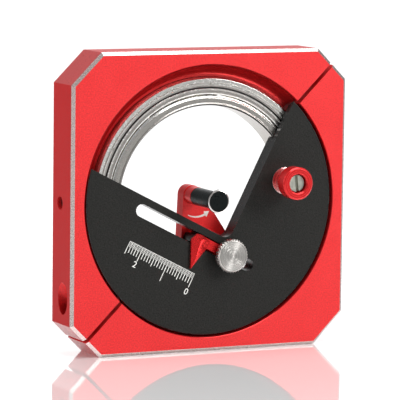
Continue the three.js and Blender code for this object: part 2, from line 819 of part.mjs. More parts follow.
// ---- assembly ----
const cutter = new THREE.Group();
cutter.position.set(0, -THICK / 2, SIDE / 2);
cutter.add(...housingHalves(), ...clampScrews());
cutter.add(outerRace(), cage(), ...balls());
cutter.add(shield("bearing_shield_front", -1), shield("bearing_shield_rear", 1));

const rotor = new THREE.Group();
rotor.rotation.y = ROTOR_TURN;
rotor.add(innerRace(), rotorPlate(), crankPost(), crankScrew(), crankWasher());
rotor.add(carriageArm(), pointer(), clampStud(), nutWasher(), thumbNut());
rotor.add(guidePin("guide_pin_inner", INNER_PIN_X), guidePin("guide_pin_outer", OUTER_PIN_X));
rotor.add(bladeBarrel(), pressCap(), plungerStem(), blade(), returnSpring());
cutter.add(rotor);

const group = new THREE.Group();
group.add(cutter);
export default group;
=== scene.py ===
"""Looks of a stepless circle cutter: a square red housing round a thin ball bearing, and a
black rotor that carries the scale, the crank, and a blade on a clamped, sliding carriage.

Pieces are modelled in tool space, in millimetres: x across, y the depth behind the housing's
front plane, z up from the bearing's axis. settle() then puts a piece in its place in metres.
Pieces of the rotor are modelled with x along the slot and turned with the rotor.
"""

import json
from collections import namedtuple
from math import acos, atan2, cos, dist, hypot, pi, radians, sin

import bpy
from bpy.props import FloatProperty, FloatVectorProperty, IntProperty, PointerProperty
from bpy.types import Operator, Panel, PropertyGroup
from mathutils import Matrix, Vector


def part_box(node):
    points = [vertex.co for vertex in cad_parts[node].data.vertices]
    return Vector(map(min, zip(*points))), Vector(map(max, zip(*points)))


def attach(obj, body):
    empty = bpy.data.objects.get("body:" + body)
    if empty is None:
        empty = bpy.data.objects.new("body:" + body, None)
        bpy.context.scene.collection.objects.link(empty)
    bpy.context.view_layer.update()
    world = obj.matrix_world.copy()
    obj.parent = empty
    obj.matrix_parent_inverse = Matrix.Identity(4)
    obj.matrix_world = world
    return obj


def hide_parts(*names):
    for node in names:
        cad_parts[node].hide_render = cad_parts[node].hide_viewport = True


bl_info = {
    "name": "Circle Cutter",
    "version": (1, 0, 0),
    "blender": (4, 5, 0),
    "location": "View3D > Sidebar > Circle Cutter",
    "description": "Builds the pieces and finishes of a stepless circle cutter round its frame",
    "category": "Add Mesh",
}

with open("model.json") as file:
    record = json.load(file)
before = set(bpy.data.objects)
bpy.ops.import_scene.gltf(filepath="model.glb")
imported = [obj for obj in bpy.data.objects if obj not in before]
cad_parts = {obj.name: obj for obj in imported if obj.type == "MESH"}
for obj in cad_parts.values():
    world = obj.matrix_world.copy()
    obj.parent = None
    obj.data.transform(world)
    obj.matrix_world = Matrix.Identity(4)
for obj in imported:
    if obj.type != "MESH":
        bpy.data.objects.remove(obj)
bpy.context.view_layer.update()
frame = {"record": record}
MM = 0.001

# ---- places taken from the frame ----
JOINTS = {joint["name"]: joint for joint in frame["record"]["behaviour"]["joints"]}
FRONT_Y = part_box("housing_upper_half")[0].y
AXIS_Z = JOINTS["rotor_spin"]["pos_m"][2]
SLIDE = JOINTS["carriage_slide"]["axis"]
ROTOR_TURN = atan2(SLIDE[2], -SLIDE[0])


def tool_box(node):
    """A node's lowest and highest corners in tool space."""
    low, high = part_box(node)
    origin = Vector((0, FRONT_Y, AXIS_Z))
    return (low - origin) / MM, (high - origin) / MM


def middle(node):
    """The middle of a node's box in tool space, across and up."""
    low, high = tool_box(node)
    return (low.x + high.x) / 2, (low.z + high.z) / 2


def rotor_middle(node):
    """The same in the rotor's own directions."""
    x, z = middle(node)
    c, s = cos(ROTOR_TURN), sin(ROTOR_TURN)
    return x * c - z * s, x * s + z * c


def axis_of(node):
    """Where a round node's axis stands, across and up, in metres."""
    x, z = middle(node)
    return x * MM, AXIS_Z + z * MM


def half_width(node):
    """The radius of a round node whose axis runs front to back."""
    low, high = tool_box(node)
    return (high.x - low.x) / 2


def depths(node):
    """A node's front and back depth."""
    low, high = tool_box(node)
    return low.y, high.y


SIDE = 2 * tool_box("housing_upper_half")[1].z
THICK = depths("housing_upper_half")[1]
RACE_FRONT, RACE_BACK = depths("bearing_outer_race")
RACE_MIDDLE = (RACE_FRONT + RACE_BACK) / 2
RACE_R = half_width("bearing_outer_race")
CRANK = rotor_middle("crank_washer")
STUD = rotor_middle("clamp_stud")
BLADE = rotor_middle("blade_barrel")
PINS = {name: rotor_middle(name) for name in ("guide_pin_inner", "guide_pin_outer")}

# ---- sizes inside those boxes, in millimetres ----
CORNER = 10.0
EDGE = 1.0
REAR_EDGE = 0.4
SPLIT = 1.2
MOUTH_R = 43.25
MOUTH_CHAMFER = 0.15
MOUTH_RIM = 0.3
FLOOR_R = 39.3
FLOOR_DEPTH = 5.5
SEAT_R = 39.1
REAR_LIP_R = 36.8
REAR_LIP_DEPTH = 13.2
CLAMP_DEPTH = 6.6
CLAMP_Z = -29.2
CLAMP_HEAD_R = 3.1
CLAMP_HEAD_LENGTH = 3.3
SOCKET_R = 1.75
CLAMP_SHANK_R = 1.95
CLAMP_END = 20.5
COUNTERBORE_R = 3.6
HEAD_SINK = 5.0
CLEARANCE = 0.1
LOCK_DEPTH = 9.3
LOCK_Z = 0.3
LOCK_R = 2.0
LOCK_SOCKET_R = 1.15
RACE_BORE_R = 30.0
RACE_EDGE = 0.6
OUTER_LAND_R = 36.2
INNER_LAND_R = 33.1
SHIELD_SEAT_R = 37.35
SHIELD_SEAT_DEPTH = 1.2
SHIELD_RIM_R = 37.0
SHIELD_WEB = (33.95, 34.85)
SHIELD_GROOVE = (35.35, 35.85)
SHIELD_STEP = (35.85, 36.38)
SHIELD_NOTCHES = 17
NOTCH_HALF = 0.3
FIRST_NOTCH = 0.18
BORE_CHAMFER = 0.4
LAND_EDGE = 0.8
PITCH_R = 34.5
BALL_R = 2.6
GROOVE_R = 2.75
BALLS = 17
CAGE_HALF_WALL = 0.9
CAGE_HALF_WIDTH = 3.1
ROTOR_FRONT = 0.5
ROTOR_R = 42.4
DISC_BACK = 2.7
DISC_BACK_R = 40.8
SHOULDER_R = 32.2
SHOULDER_DEPTH = 2.93
HUB_R = 29.9
HUB_BACK = 6.0
WINDOW_X = 11.8
WINDOW_Z = -8.15
WINDOW_CORNER_R = 3.0
SLOT_LEFT = -20.0
SLOT_RIGHT = 21.4
SLOT_HALF = 2.0
ARM_FRONT = 8.8
ARM_BACK = 13.2
ARM_ROUNDS = ((BLADE[0], BLADE[1], 3.1), (3.1, -14.0, 2.5), (19.5, -11.55, 2.5))
PAD_FRONT = 6.1
PAD_CORNERS = ((1.6, -15.5), (20.0, -15.5), (20.0, -9.6), (14.4, -7.75), (1.6, -7.75))
PAD_CORNER_R = 0.4
STUD_HOLE_R = 1.55
SCREW_HOLE_R = 1.7
FAR = 60.0
NUT_TEETH = 36
TOOTH_DEPTH = 0.3
TYPE_SIZE = 1.4
HAIR = 0.01


# ---- modelling ----
def deselect():
    if bpy.context.mode != "OBJECT":
        bpy.ops.object.mode_set(mode="OBJECT")
    bpy.ops.object.select_all(action="DESELECT")


def activate(obj):
    deselect()
    obj.select_set(True)
    bpy.context.view_layer.objects.active = obj


def named(name):
    obj = bpy.context.object
    obj.name = name
    obj.data.name = name
    return obj


def open_edit(select="EDGE"):
    """Edit mode on the active piece, with all of it selected."""
    bpy.ops.object.mode_set(mode="EDIT")
    bpy.ops.mesh.select_mode(type=select)
    bpy.ops.mesh.select_all(action="SELECT")


def close_edit():
    """Turns every face outwards and leaves edit mode."""
    bpy.ops.mesh.select_all(action="SELECT")
    bpy.ops.mesh.normals_make_consistent(inside=False)
    bpy.ops.object.mode_set(mode="OBJECT")


def apply_place(obj):
    activate(obj)
    bpy.ops.object.transform_apply(location=True, rotation=True, scale=True)


def place(obj, matrix):
    obj.matrix_world = matrix @ obj.matrix_world
    apply_place(obj)
    return obj


def about(axis, angle):
    return Matrix.Rotation(angle, 4, axis)


def shift(x, y, z):
    return Matrix.Translation((x, y, z))


def moved(obj, spot):
    """Moves a piece across and up by an (x, z) pair."""
    return place(obj, shift(spot[0], 0, spot[1]))


def modify(obj, kind, **settings):
    activate(obj)
    bpy.ops.object.modifier_add(type=kind)
    modifier = obj.modifiers[-1]
    for key, value in settings.items():
        setattr(modifier, key, value)
    bpy.ops.object.modifier_apply(modifier=modifier.name)
    return obj


def combine(obj, tools, operation):
    for tool in tools:
        modify(obj, "BOOLEAN", operation=operation, object=tool, solver="EXACT")
        bpy.data.objects.remove(tool)
    return obj


def cut(obj, *tools):
    return combine(obj, tools, "DIFFERENCE")


def join(obj, *others):
    return combine(obj, others, "UNION")


def duplicate(obj, name):
    other = obj.copy()
    other.data = obj.data.copy()
    other.name = name
    bpy.context.collection.objects.link(other)
    return other


def turned(name, profile, sides=96, hollow=False):
    """A body of revolution about the depth axis: a circle extruded and scaled from one
    (radius, depth) point to the next, then capped, or bridged back to its start."""
    deselect()
    radius, depth = profile[0]
    bpy.ops.mesh.primitive_circle_add(
        vertices=sides, radius=radius, location=(0, depth, 0), rotation=(pi / 2, 0, 0)
    )
    obj = named(name)
    apply_place(obj)
    open_edit()
    for next_radius, next_depth in profile[1:]:
        step = (0, next_depth - depth, 0)
        bpy.ops.mesh.extrude_region_move(TRANSFORM_OT_translate={"value": step})
        ratio = next_radius / radius
        bpy.ops.transform.resize(value=(ratio, 1, ratio), center_override=(0, next_depth, 0))
        radius, depth = next_radius, next_depth
    if hollow:
        bpy.ops.mesh.select_all(action="DESELECT")
        bpy.ops.mesh.select_non_manifold()
        bpy.ops.mesh.bridge_edge_loops()
    else:
        bpy.ops.mesh.select_all(action="SELECT")
        bpy.ops.mesh.fill_holes(sides=0)
    close_edit()
    return obj


def rod(name, radius, front, back, sides=48):
    return turned(name, [(radius, front), (radius, back)], sides)


def block(name, low, high):
    """A cube primitive stretched between two corners."""
    deselect()
    centre = [(a + b) / 2 for a, b in zip(low, high)]
    bpy.ops.mesh.primitive_cube_add(size=1, location=centre)
    obj = named(name)
    obj.scale = [b - a for a, b in zip(low, high)]
    apply_place(obj)
    return obj


def merge(name, parts):
    activate(parts[0])
    for part in parts[1:]:
        part.select_set(True)
    bpy.ops.object.join()
    return named(name)


def hull(name, circles, front, back, sides=64):
    """The flat body stretched round a set of (x, z, radius) circles between two depths."""
    parts = [moved(rod(name, r, front, back, sides), (x, z)) for x, z, r in circles]
    obj = merge(name, parts)
    open_edit()
    bpy.ops.mesh.convex_hull()
    bpy.ops.mesh.select_all(action="SELECT")
    bpy.ops.mesh.dissolve_limited(angle_limit=radians(0.5))
    close_edit()
    return obj


def select_edges(obj, wanted):
    """Leaves the object in edit mode with the edges selected whose two ends pass the test."""
    activate(obj)
    bpy.context.tool_settings.mesh_select_mode = (False, True, False)
    mesh = obj.data
    for item in (*mesh.vertices, *mesh.polygons):
        item.select = False
    for edge in mesh.edges:
        ends = [mesh.vertices[i].co for i in edge.vertices]
        edge.select = wanted(*ends)
    bpy.ops.object.mode_set(mode="EDIT")


def bevel_edges(obj, wanted, width):
    select_edges(obj, wanted)
    bpy.ops.mesh.bevel(offset=width, segments=1, affect="EDGES")
    bpy.ops.object.mode_set(mode="OBJECT")


def soften(obj, width=0.0, segments=2, angle=30.0):
    """Rounds the sharp edges and smooths the shading, with flat faces kept flat."""
    if width:
        modify(
            obj, "BEVEL", width=width, segments=segments, limit_method="ANGLE",
            angle_limit=radians(angle), use_clamp_overlap=True,
        )
    activate(obj)
    bpy.ops.object.shade_smooth_by_angle(angle=radians(angle))
    modify(obj, "WEIGHTED_NORMAL", keep_sharp=True, weight=80)
    return obj


def paint(obj, *materials):
    obj.data.materials.clear()
    for name in materials:
        obj.data.materials.append(finish(name))
    return obj


def assign(obj, index, wanted):
    """Gives a material to the faces whose centre and normal pass the test."""
    for face in obj.data.polygons:
        if wanted(face.center, face.normal):
            face.material_index = index


def settle(obj, body, slot, *nodes):
    """Puts a finished piece in its place in metres and ties it to its body."""
    turn = 0.0 if body in ("housing", "ball_set") else ROTOR_TURN
    where = shift(0, FRONT_Y, AXIS_Z)
    place(obj, where @ about("Y", turn) @ Matrix.Scale(MM, 4))
    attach(obj, body)
    if nodes:
        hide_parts(*nodes)
    return obj


def dress(obj, material, body, slot, *nodes):
    """Gives a piece one finish all over and settles it."""
    return settle(paint(obj, material), body, slot, *nodes)


def reach(centre):
    """How far a point stands from the bearing's axis."""
    return hypot(centre.x, centre.z)


# ---- finishes ----
class Finish:
    """A node material with small helpers, all of it on Object coordinates."""

    def __init__(self, name, color, metallic, sockets):
        self.material = bpy.data.materials.new(name)
        self.material.use_nodes = True
        self.tree = self.material.node_tree
        self.shader = self.tree.nodes["Principled BSDF"]
        self.shader.inputs["Base Color"].default_value = (*color[:3], 1)
        self.shader.inputs["Metallic"].default_value = metallic
        for key, value in sockets.items():
            self.shader.inputs[key].default_value = value
        self.color = color
        self.point = self.add("TexCoord").outputs["Object"]

    def add(self, kind, **settings):
        node = self.tree.nodes.new("ShaderNode" + kind)
        for key, value in settings.items():
            setattr(node, key, value)
        return node

    def link(self, source, target):
        self.tree.links.new(source, target)

    def noise(self, size_mm, detail, stretch):
        """Noise whose features are about this many millimetres across."""
        mapping = self.add("Mapping")
        mapping.inputs["Scale"].default_value = stretch
        self.link(self.point, mapping.inputs["Vector"])
        node = self.add("TexNoise")
        node.inputs["Scale"].default_value = 1 / (size_mm * MM)
        node.inputs["Detail"].default_value = detail
        self.link(mapping.outputs["Vector"], node.inputs["Vector"])
        return node.outputs["Fac"]

    def rings(self, centre, size_mm):
        """Noise that runs in circles about an axis from front to back through (x, z) in metres."""
        offset = self.add("VectorMath", operation="SUBTRACT")
        offset.inputs[1].default_value = (centre[0], 0, centre[1])
        self.link(self.point, offset.inputs[0])
        flat = self.add("VectorMath", operation="MULTIPLY")
        flat.inputs[1].default_value = (1, 0, 1)
        self.link(offset.outputs[0], flat.inputs[0])
        length = self.add("VectorMath", operation="LENGTH")
        self.link(flat.outputs[0], length.inputs[0])
        node = self.add("TexNoise", noise_dimensions="1D")
        node.inputs["Scale"].default_value = 1 / (size_mm * MM)
        node.inputs["Detail"].default_value = RING_DETAIL
        self.link(length.outputs["Value"], node.inputs["W"])
        return node.outputs["Fac"]

    def groove(self):
        """Turns the stretched gloss to run round the piece's own depth axis."""
        tangent = self.add("Tangent", direction_type="RADIAL", axis="Y")
        self.link(tangent.outputs["Tangent"], self.shader.inputs["Tangent"])

    def spread(self, source, low, high):
        """Stretches the middle of a noise's range to run from low to high."""
        ramp = self.add("MapRange")
        for key, value in zip(RAMP_KEYS, (*NOISE_MIDDLE, low, high)):
            ramp.inputs[key].default_value = value
        self.link(source, ramp.inputs["Value"])
        return ramp.outputs["Result"]

    def vary_color(self, source, darker):
        mix = self.add("Mix", data_type="RGBA")
        mix.inputs["A"].default_value = (*[c * darker for c in self.color[:3]], 1)
        mix.inputs["B"].default_value = (*self.color[:3], 1)
        self.link(self.spread(source, 0, 1), mix.inputs["Factor"])
        self.link(mix.outputs["Result"], self.shader.inputs["Base Color"])

    def vary_roughness(self, source, low, high):
        self.link(self.spread(source, low, high), self.shader.inputs["Roughness"])

    def bump(self, source, height_mm):
        node = self.add("Bump")
        node.inputs["Distance"].default_value = height_mm * MM
        self.link(source, node.inputs["Height"])
        self.link(node.outputs["Normal"], self.shader.inputs["Normal"])


RAMP_KEYS = ("From Min", "From Max", "To Min", "To Max")
NOISE_MIDDLE = (0.3, 0.7)
RING_DETAIL = 3.0

Recipe = namedtuple(
    "Recipe", "color metallic gloss tone grain sockets grooved", defaults=(None, None, {}, False)
)


def speckle(size_mm, detail=2.0, stretch=(1, 1, 1)):
    return lambda out: out.noise(size_mm, detail, stretch)


def turning(size_mm, node=None):
    """Turning marks about a round node's axis, or about the bearing's."""
    return lambda out: out.rings(axis_of(node) if node else (0, AXIS_Z), size_mm)


def looks():
    return bpy.context.scene.cutter_looks


def red(share):
    """The anodised red at a share of its brightness."""
    return [c * share for c in looks().red]


def recipes():
    """Every finish: its colour, how metallic it is, and then its gloss, as a pattern and the
    lowest and highest roughness, or one roughness; its tone, as a pattern and how dark it gets;
    its grain, as a pattern and a height in millimetres; and the shader's other settings."""
    grain = looks().grain
    nut, post = "thumb_nut", "crank_washer"
    coat = {"Coat Weight": 0.7, "Coat Roughness": 0.1, "Coat IOR": 1.6}
    turned_gloss = {"Anisotropic": 0.9, "Anisotropic Rotation": 0.25}
    return {
        "blasted_red": Recipe(
            red(1), 0.3, (speckle(6.0), 0.38, 0.46), (speckle(0.45, 3), 0.66),
            (speckle(0.45, 3), grain * 0.04),
        ),
        # The recess red: the anodised red darkened to 0.62 as painted shade in the recess, with a
        # machined gloss and turning marks.
        "machined_red_and_shade": Recipe(
            red(0.62), 0.6, (turning(0.25), 0.14, 0.26), None, (turning(0.12), 0.0006),
        ),
        # The outer sides' red: the anodised red darkened to 0.46 as painted shade on the sides
        # turned away from the light.
        "side_red_painted_shade": Recipe(
            red(0.46), 0.0, (speckle(0.8), 0.36, 0.44), (speckle(0.8), 0.92), None,
            {"Specular IOR Level": 0.14},
        ),
        # The cut corners' red: the anodised red darkened to 0.6 as painted shade, under a glossy
        # coat.
        "corner_red_painted_shade": Recipe(
            red(0.6), 0.3, (speckle(0.8), 0.27, 0.33), (speckle(1.0), 0.95), None, coat,
        ),
        "carriage_red": Recipe(
            red(1), 0.4, (speckle(1.6), 0.28, 0.4), (speckle(0.6), 0.85),
            (speckle(0.14, 3), grain * 0.002),
        ),
        "pointer_red": Recipe(red(0.9), 0.75, (speckle(0.8), 0.2, 0.3), (speckle(0.6), 0.9)),
        "crank_red": Recipe(
            red(0.75), 0.5, (turning(0.3, post), 0.2, 0.3), None, (turning(0.2, post), 0.0012),
        ),
        "bare_edge": Recipe(
            (0.7, 0.58, 0.56), 1.0, (speckle(0.5), 0.24, 0.3), (speckle(0.4), 0.93),
        ),
        "blasted_black": Recipe(
            looks().charcoal, 0.05, (speckle(8.0), 0.46, 0.56), (speckle(0.45, 3), 0.3),
            (speckle(0.45, 3), grain * 0.05), {"Specular IOR Level": 0.18},
        ),
        "machined_black": Recipe(
            (0.03, 0.03, 0.03), 0.3, (speckle(2.0), 0.22, 0.36), None,
            (speckle(0.3, 2, (1, 6, 1)), 0.0002),
        ),
        "holder_black": Recipe(
            looks().holder, 0.05, (speckle(1.0), 0.26, 0.36), (speckle(1.5), 0.85),
            (speckle(0.08, 2, (1, 8, 1)), 0.0006), {"Specular IOR Level": 0.13},
        ),
        "ground_steel": Recipe(
            (0.92, 0.9, 0.86), 1.0, (speckle(1.2, 3), 0.14, 0.3), (turning(0.35), 0.8),
            (turning(0.1), 0.0009), {"Anisotropic": 0.5},
        ),
        # A darker copy of the race steel: painted shade on the outer race's edge chamfer and the
        # inner race's land.
        "race_steel_painted_shade": Recipe(
            (0.5, 0.48, 0.45), 1.0, 0.26, (turning(0.3), 0.85), (turning(0.1), 0.0006),
            {"Anisotropic": 0.5},
        ),
        # The shield's darker steel: the same steel darkened as painted shade on its recessed web
        # and step, with pressed grain.
        "pressed_steel_and_shade": Recipe(
            (0.36, 0.34, 0.32), 1.0, (speckle(0.6, 3), 0.28, 0.42), (speckle(0.8, 3), 0.8),
            (speckle(0.12), 0.0015),
        ),
        "polished_ball": Recipe((0.8, 0.8, 0.8), 1.0, (speckle(1.0), 0.05, 0.12)),
        "cage_brass": Recipe(
            (0.72, 0.52, 0.24), 1.0, 0.3, (speckle(1.0), 0.85), (turning(0.15), 0.001),
        ),
        # Near-black steel: the blackened screws and pins, and painted shade in the inner race's
        # bore chamfer and the shield's rolled groove.
        "dark_steel_and_shade": Recipe(
            (0.045, 0.043, 0.042), 0.9, (speckle(0.5), 0.26, 0.42), (speckle(0.7), 0.7),
        ),
        "turned_steel": Recipe(
            (0.62, 0.6, 0.57), 1.0, (turning(0.2, nut), 0.24, 0.36), (turning(0.35, nut), 0.5),
            (turning(0.3, nut), 0.003), turned_gloss, True,
        ),
        "bright_steel": Recipe(
            (0.72, 0.68, 0.66), 1.0, (speckle(0.6), 0.14, 0.26), (speckle(0.8), 0.88),
        ),
        "satin_steel": Recipe(
            (0.46, 0.47, 0.41), 1.0, (speckle(0.5), 0.3, 0.42), (speckle(1.0), 0.82),
            (speckle(0.2, 2, (4, 1, 1)), 0.0012),
        ),
        "blade_steel": Recipe(
            (0.75, 0.76, 0.78), 1.0, (speckle(0.4), 0.1, 0.24), None,
            (speckle(0.1, 2, (8, 1, 1)), 0.0008),
        ),
        "white_ink": Recipe(looks().ink, 0.0, 0.5, (speckle(0.25, 3), 0.82)),
        "pale_floor": Recipe(
            (0.88, 0.88, 0.88), 0.0, 0.08, (speckle(40), 0.99), None,
            {"Coat Weight": 1.0, "Coat IOR": 1.7},
        ),
    }


FINISHES = {}


def finish(name):
    """The material of that name, made the first time it is asked for."""
    if name in FINISHES:
        return FINISHES[name]
    recipe = recipes()[name]
    out = Finish(name, recipe.color, recipe.metallic, recipe.sockets)
    if recipe.tone:
        pattern, darker = recipe.tone
        out.vary_color(pattern(out), darker)
    if isinstance(recipe.gloss, tuple):
        pattern, low, high = recipe.gloss
        out.vary_roughness(pattern(out), low, high)
    else:
        out.shader.inputs["Roughness"].default_value = recipe.gloss
    if recipe.grain:
        pattern, height = recipe.grain
        out.bump(pattern(out), height)
    if recipe.grooved:
        out.groove()
    FINISHES[name] = out.material
    return out.material


# ---- properties ----
class CutterLooks(PropertyGroup):
    red: FloatVectorProperty(
        name="Anodised red", description="Colour of the housing and the carriage",
        subtype="COLOR", min=0, max=1, default=(0.8, 0.02, 0.022),
    )
    charcoal: FloatVectorProperty(
        name="Rotor charcoal", description="Colour of the blasted rotor plate",
        subtype="COLOR", min=0, max=1, default=(0.017, 0.017, 0.015),
    )
    holder: FloatVectorProperty(
        name="Holder black", description="Colour of the blade holder and its cap",
        subtype="COLOR", min=0, max=1, default=(0.003, 0.005, 0.005),
    )
    ink: FloatVectorProperty(
        name="Print white", description="Colour of the printed scale and arrow",
        subtype="COLOR", min=0, max=1, default=(0.86, 0.86, 0.82),
    )
    grain: FloatProperty(
        name="Grain", description="Depth of the blasted grain, 1 is the usual depth",
        min=0, max=4, default=1,
    )


class CutterSizes(PropertyGroup):
    edge_break: FloatProperty(
        name="Edge break", description="Rounding of the machined edges",
        unit="LENGTH", min=0, max=0.0005, default=0.00012,
    )
    line_width: FloatProperty(
        name="Line width", description="Width of the scale's printed lines",
        unit="LENGTH", min=0.00005, max=0.0005, default=0.00022,
    )
    print_height: FloatProperty(
        name="Print height", description="How far the ink stands on the metal",
        unit="LENGTH", min=0.00001, max=0.0001, default=0.00003,
    )
    sides: IntProperty(
        name="Sides", description="Sides of a large turned piece",
        min=48, max=256, default=160,
    )


def sizes():
    return bpy.context.scene.cutter_sizes


# ---- housing ----
def clamp_line(obj, corner):
    """Turns a body made about the depth axis onto a clamp screw's line. The line starts in
    the left side and runs down across the split; the other corner's is half a turn round."""
    onto = about("Y", pi / 4) @ about("Z", -pi / 2)
    there = shift(-SIDE / 2, CLAMP_DEPTH, CLAMP_Z)
    around = about("Y", pi * corner)
    return place(obj, around @ there @ onto)


def clamp_hole(corner):
    shank = CLAMP_SHANK_R + CLEARANCE
    floor = HEAD_SINK + CLAMP_HEAD_LENGTH + CLEARANCE
    end = CLAMP_END + 0.5
    profile = [(COUNTERBORE_R, -12), (COUNTERBORE_R, floor), (shank, floor), (shank, end)]
    return clamp_line(turned("clamp_hole", profile, 64), corner)


def lock_line(obj):
    """Turns a body made about the depth axis onto the set screw's line, in from the left side."""
    there = shift(-SIDE / 2, LOCK_DEPTH, LOCK_Z)
    return place(obj, there @ about("Z", -pi / 2))


def beside_split(side):
    """A block that covers all that lies on one side of the diagonal split."""
    near, wide = side * -SPLIT / 2, 2 * SIDE
    low = (min(near, near + side * wide), -wide, -wide)
    high = (max(near, near + side * wide), wide, wide)
    return place(block("beside_split", low, high), about("Y", pi / 4))


def recess_curve():
    """The recess in section: a quarter of an ellipse, steep at the mouth and flat at the race."""
    wide, deep, steps = MOUTH_R - 0.1 - FLOOR_R, FLOOR_DEPTH - MOUTH_CHAMFER, 10
    points = []
    for i in range(steps + 1):
        angle = pi / 2 * i / steps
        points.append((FLOOR_R + wide * cos(angle), MOUTH_CHAMFER + deep * sin(angle)))
    return points


def housing():
    half = SIDE / 2
    whole = block("housing", (-half, 0, -half), (half, THICK, half))
    bevel_edges(whole, lambda a, b: abs(a.y - b.y) > 1, CORNER)
    bevel_edges(whole, lambda a, b: max(a.y, b.y) < HAIR, EDGE)
    bevel_edges(whole, lambda a, b: min(a.y, b.y) > THICK - HAIR, REAR_EDGE)
    section = [
        (MOUTH_R + MOUTH_CHAMFER + 1, -1), *recess_curve(), (SEAT_R, FLOOR_DEPTH),
        (SEAT_R, REAR_LIP_DEPTH), (REAR_LIP_R, REAR_LIP_DEPTH), (REAR_LIP_R, THICK + 1),
    ]
    bore = turned("bore", section, sizes().sides)
    lock_hole = lock_line(rod("lock_hole", LOCK_R + CLEARANCE, -6, 12))
    cut(whole, bore, clamp_hole(0), clamp_hole(1), lock_hole)
    upper = duplicate(whole, "housing_upper")
    lower = duplicate(whole, "housing_lower")
    bpy.data.objects.remove(whole)
    cut(upper, beside_split(1))
    cut(lower, beside_split(-1))
    faces = ("blasted_red", "bare_edge", "machined_red_and_shade", "side_red_painted_shade", "corner_red_painted_shade")
    for half_shell, node in ((upper, "housing_upper_half"), (lower, "housing_lower_half")):
        soften(half_shell)
        paint(half_shell, *faces)
        assign(half_shell, 1, on_front_bevel)
        # The recess faces take the darker red: painted shade in the recess.
        assign(half_shell, 2, in_recess)
        # The outer sides take the darker red: painted shade.
        assign(half_shell, 3, on_outer_side)
        # The cut corners take the darker red: painted shade.
        assign(half_shell, 4, on_corner_face)
        settle(half_shell, "housing", "red_anodised", node)


def on_front_bevel(centre, normal):
    """The bare bevel round the front and the bright rim of the recess."""
    if centre.y < MOUTH_CHAMFER and reach(centre) < MOUTH_R + MOUTH_RIM:
        return normal.y > -0.9
    outside = max(abs(centre.x), abs(centre.z)) > SIDE / 2 - EDGE
    across_corner = abs(centre.x) + abs(centre.z) > SIDE - CORNER - 1.5 * EDGE
    return centre.y < EDGE and -0.85 < normal.y < -0.5 and (outside or across_corner)


def on_outer_side(centre, normal):
    return abs(normal.y) < 0.2 and centre.x * normal.x + centre.z * normal.z > SIDE / 2 - 3


def on_corner_face(centre, normal):
    slanted = min(abs(normal.x), abs(normal.z)) > 0.5
    return slanted and abs(centre.x) + abs(centre.z) > SIDE - CORNER - 0.1


def in_recess(centre, normal):
    inward = normal.x * centre.x + normal.z * centre.z < -0.2 * reach(centre)
    return reach(centre) < MOUTH_R and inward


def screws():
    for corner, name in enumerate(("clamp_screw_lower", "clamp_screw_upper")):
        top, under = HEAD_SINK, HEAD_SINK + CLAMP_HEAD_LENGTH
        section = [
            (CLAMP_HEAD_R - 0.3, top), (CLAMP_HEAD_R, top + 0.3), (CLAMP_HEAD_R, under),
            (CLAMP_SHANK_R, under), (CLAMP_SHANK_R, CLAMP_END - 0.4),
            (CLAMP_SHANK_R - 0.4, CLAMP_END),
        ]
        screw = turned(name + "_look", section, 64)
        cut(screw, turned("socket", [(SOCKET_R, top - 1), (SOCKET_R, top + 2)], 6))
        soften(clamp_line(screw, corner), 0.08)
        dress(screw, "dark_steel_and_shade", "housing", "dark_screw_steel", name)
    section = [(LOCK_R - 0.25, 1.2), (LOCK_R, 1.45), (LOCK_R, 7.2), (LOCK_R - 0.9, 8.2)]
    lock = turned("bearing_lock_screw_look", section, 48)
    cut(lock, turned("socket", [(LOCK_SOCKET_R, 0.5), (LOCK_SOCKET_R, 3.6)], 6))
    soften(lock_line(lock), 0.06)
    dress(lock, "dark_steel_and_shade", "housing", "dark_screw_steel", "bearing_lock_screw")


# ---- bearing ----
def groove(land_radius, outward):
    """The balls' track in section, from one side of a race's land to the other."""
    half = acos(outward * (land_radius - PITCH_R) / GROOVE_R)
    steps = 10
    points = []
    for i in range(steps + 1):
        angle = -half + 2 * half * i / steps
        radius = PITCH_R + outward * GROOVE_R * cos(angle)
        points.append((radius, RACE_MIDDLE + GROOVE_R * sin(angle)))
    return points


def races():
    front, back, step = RACE_FRONT, RACE_BACK, SHIELD_SEAT_DEPTH
    land, seat, bore = OUTER_LAND_R, SHIELD_SEAT_R, RACE_BORE_R
    section = [
        (seat, front), (RACE_R - RACE_EDGE, front),
        (RACE_R, front + RACE_EDGE), (RACE_R, back),
        (seat, back), (seat, back - step),
        (land, back - step), *reversed(groove(land, 1)),
        (land, front + step), (seat, front + step),
    ]
    outer = turned("outer_race_look", section, sizes().sides, hollow=True)
    land = INNER_LAND_R
    section = [
        (bore, front + BORE_CHAMFER),
        (bore + BORE_CHAMFER, front), (bore + 0.6, front),
        (bore + 0.9, front + 0.22),
        (land - LAND_EDGE, front + 0.22),
        (land - 0.25, front + 0.6), (land, front + 0.6),
        *groove(land, -1), (land, back - 0.12),
        (land - 0.45, back - 0.12), (land - 0.5, back),
        (bore, back),
    ]
    inner = turned("inner_race_look", section, sizes().sides, hollow=True)
    for race in (outer, inner):
        soften(race, 0.05)
        paint(race, "ground_steel", "race_steel_painted_shade", "dark_steel_and_shade")
    # The outer race's edge chamfer and the inner race's land take the darker steel: painted shade.
    assign(outer, 1, on_outer_chamfer)
    assign(inner, 1, on_inner_land)
    # The bore chamfer takes the near-black steel: painted shade.
    assign(inner, 2, on_bore_chamfer)
    settle(outer, "housing", "bearing_steel", "bearing_outer_race")
    settle(inner, "rotor", "bearing_steel", "bearing_inner_race")


def on_inner_land(centre, normal):
    return reach(centre) < INNER_LAND_R - LAND_EDGE


def on_bore_chamfer(centre, normal):
    return reach(centre) < RACE_BORE_R + BORE_CHAMFER - HAIR and 0.3 < abs(normal.y) < 0.9


def on_outer_chamfer(centre, normal):
    return reach(centre) > RACE_R - RACE_EDGE and normal.y < 0.9


